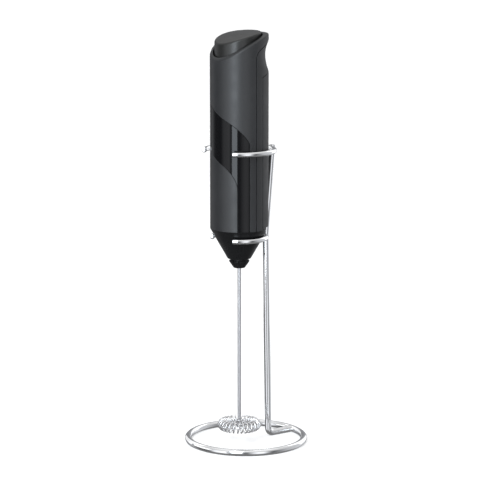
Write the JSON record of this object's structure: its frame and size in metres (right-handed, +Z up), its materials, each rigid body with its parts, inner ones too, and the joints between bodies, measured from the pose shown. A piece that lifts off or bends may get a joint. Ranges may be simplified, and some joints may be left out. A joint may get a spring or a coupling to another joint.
{
  "type": "milk frother",
  "caption": "Battery milk frother: round slanted-top handle with a push button, thin shaft and coiled wire whisk, resting in a bent-wire stand.",
  "frame": {"origin": "centre of the base ring's footprint, on the surface that the stand rests on", "axes": "+Z up along the handle; +Y towards the stand's post and the thumb groove at the back of the handle; +X to the right seen from the front"},
  "size_m": [0.0704, 0.0704, 0.2364],
  "materials": {
    "polished_steel": "polished stainless wire",
    "whisk_steel": "bright drawn stainless wire",
    "shell_front": "satin charcoal plastic",
    "shell_rear": "satin charcoal plastic",
    "inlay_gloss": "gloss black plastic",
    "nose_black": "satin black plastic",
    "button_top": "fine-textured charcoal plastic",
    "bush_brass": "sintered bronze",
    "inner_plastic": "moulded black plastic",
    "white_plastic": "natural nylon",
    "cell_jacket": "plain printed jacket",
    "contact_metal": "nickel-plated spring steel",
    "strip_brass": "brass strip",
    "motor_steel": "zinc-plated steel",
    "magnet": "sintered ferrite",
    "copper": "copper",
    "screw_steel": "zinc-plated"
  },
  "bodies": {
    "stand": {"base_ring": "polished_steel", "stand_post": "polished_steel", "upper_clip": "polished_steel", "lower_clip": "polished_steel"},
    "handle": {"front_shell": "shell_front", "gloss_inlay": "inlay_gloss", "rear_shell": "shell_rear", "nose_cone": "nose_black", "nozzle": "nose_black", "shaft_bush": "bush_brass", "battery_tray": "inner_plastic", "left_cell": "cell_jacket", "right_cell": "cell_jacket", "battery_springs": "contact_metal", "contact_plates": "contact_metal", "return_strip": "strip_brass", "motor_can": "motor_steel", "motor_end_cap": "white_plastic", "motor_magnets": "magnet", "motor_bushes": "bush_brass", "motor_cradle": "inner_plastic", "switch_plate": "inner_plastic", "switch_housing": "inner_plastic", "plate_screws": "screw_steel"},
    "spindle": {"armature": "copper", "commutator": "copper", "motor_shaft": "motor_steel", "drive_coupling": "white_plastic", "whisk_shaft": "whisk_steel", "whisk_frame": "whisk_steel", "whisk_coil": "whisk_steel"},
    "button": {"button": "button_top", "switch_plunger": "white_plastic", "button_spring": "contact_metal"},
    "battery_door": {"battery_door": "shell_rear"}
  },
  "joints": [
    {"name": "handle_lift", "type": "slide", "parent": "stand", "child": "handle", "axis": [0, 0, 1], "range_m": [0, 0.17]},
    {"name": "whisk_spin", "type": "hinge", "parent": "handle", "child": "spindle", "pos_m": [0, -0.0048, 0.05], "axis": [0, 0, 1], "continuous": true},
    {"name": "button_press", "type": "slide", "parent": "handle", "child": "button", "axis": [0, 0, -1], "range_m": [0, 0.0015], "stiffness_N_per_m": 600, "springref_m": -0.001, "deforming": ["button_spring"]},
    {"name": "battery_door_slide", "type": "slide", "parent": "handle", "child": "battery_door", "axis": [0, 0, -1], "range_m": [0, 0.0035]}
  ]
}
